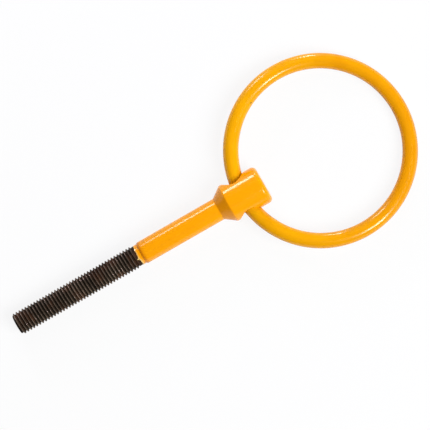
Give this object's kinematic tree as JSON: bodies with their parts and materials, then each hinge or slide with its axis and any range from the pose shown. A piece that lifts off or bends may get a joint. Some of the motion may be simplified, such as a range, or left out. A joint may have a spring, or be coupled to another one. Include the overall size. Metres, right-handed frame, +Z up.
{
  "type": "tow eye",
  "caption": "Screw-in tow eye: a threaded shank with a flared, cross-drilled head and a round-bar ring that swings in the head.",
  "frame": {"origin": "on the surface the part lies on, under the middle of its box", "axes": "+X from the stud's tip towards the ring, +Y along the cross bore, +Z up from the surface"},
  "size_m": [0.2288, 0.1, 0.021],
  "materials": {
    "yellow_enamel": "gloss orange-yellow enamel on steel, with the stud's thread left bare and blackened"
  },
  "bodies": {
    "shank": {"shank": "yellow_enamel"},
    "tow_ring": {"tow_ring": "yellow_enamel"}
  },
  "joints": [
    {"name": "ring_swing", "type": "hinge", "parent": "shank", "child": "tow_ring", "pos_m": [0.018, 0, 0.01045], "axis": [0, 1, 0], "range_deg": [-179.5, 167.6]}
  ]
}
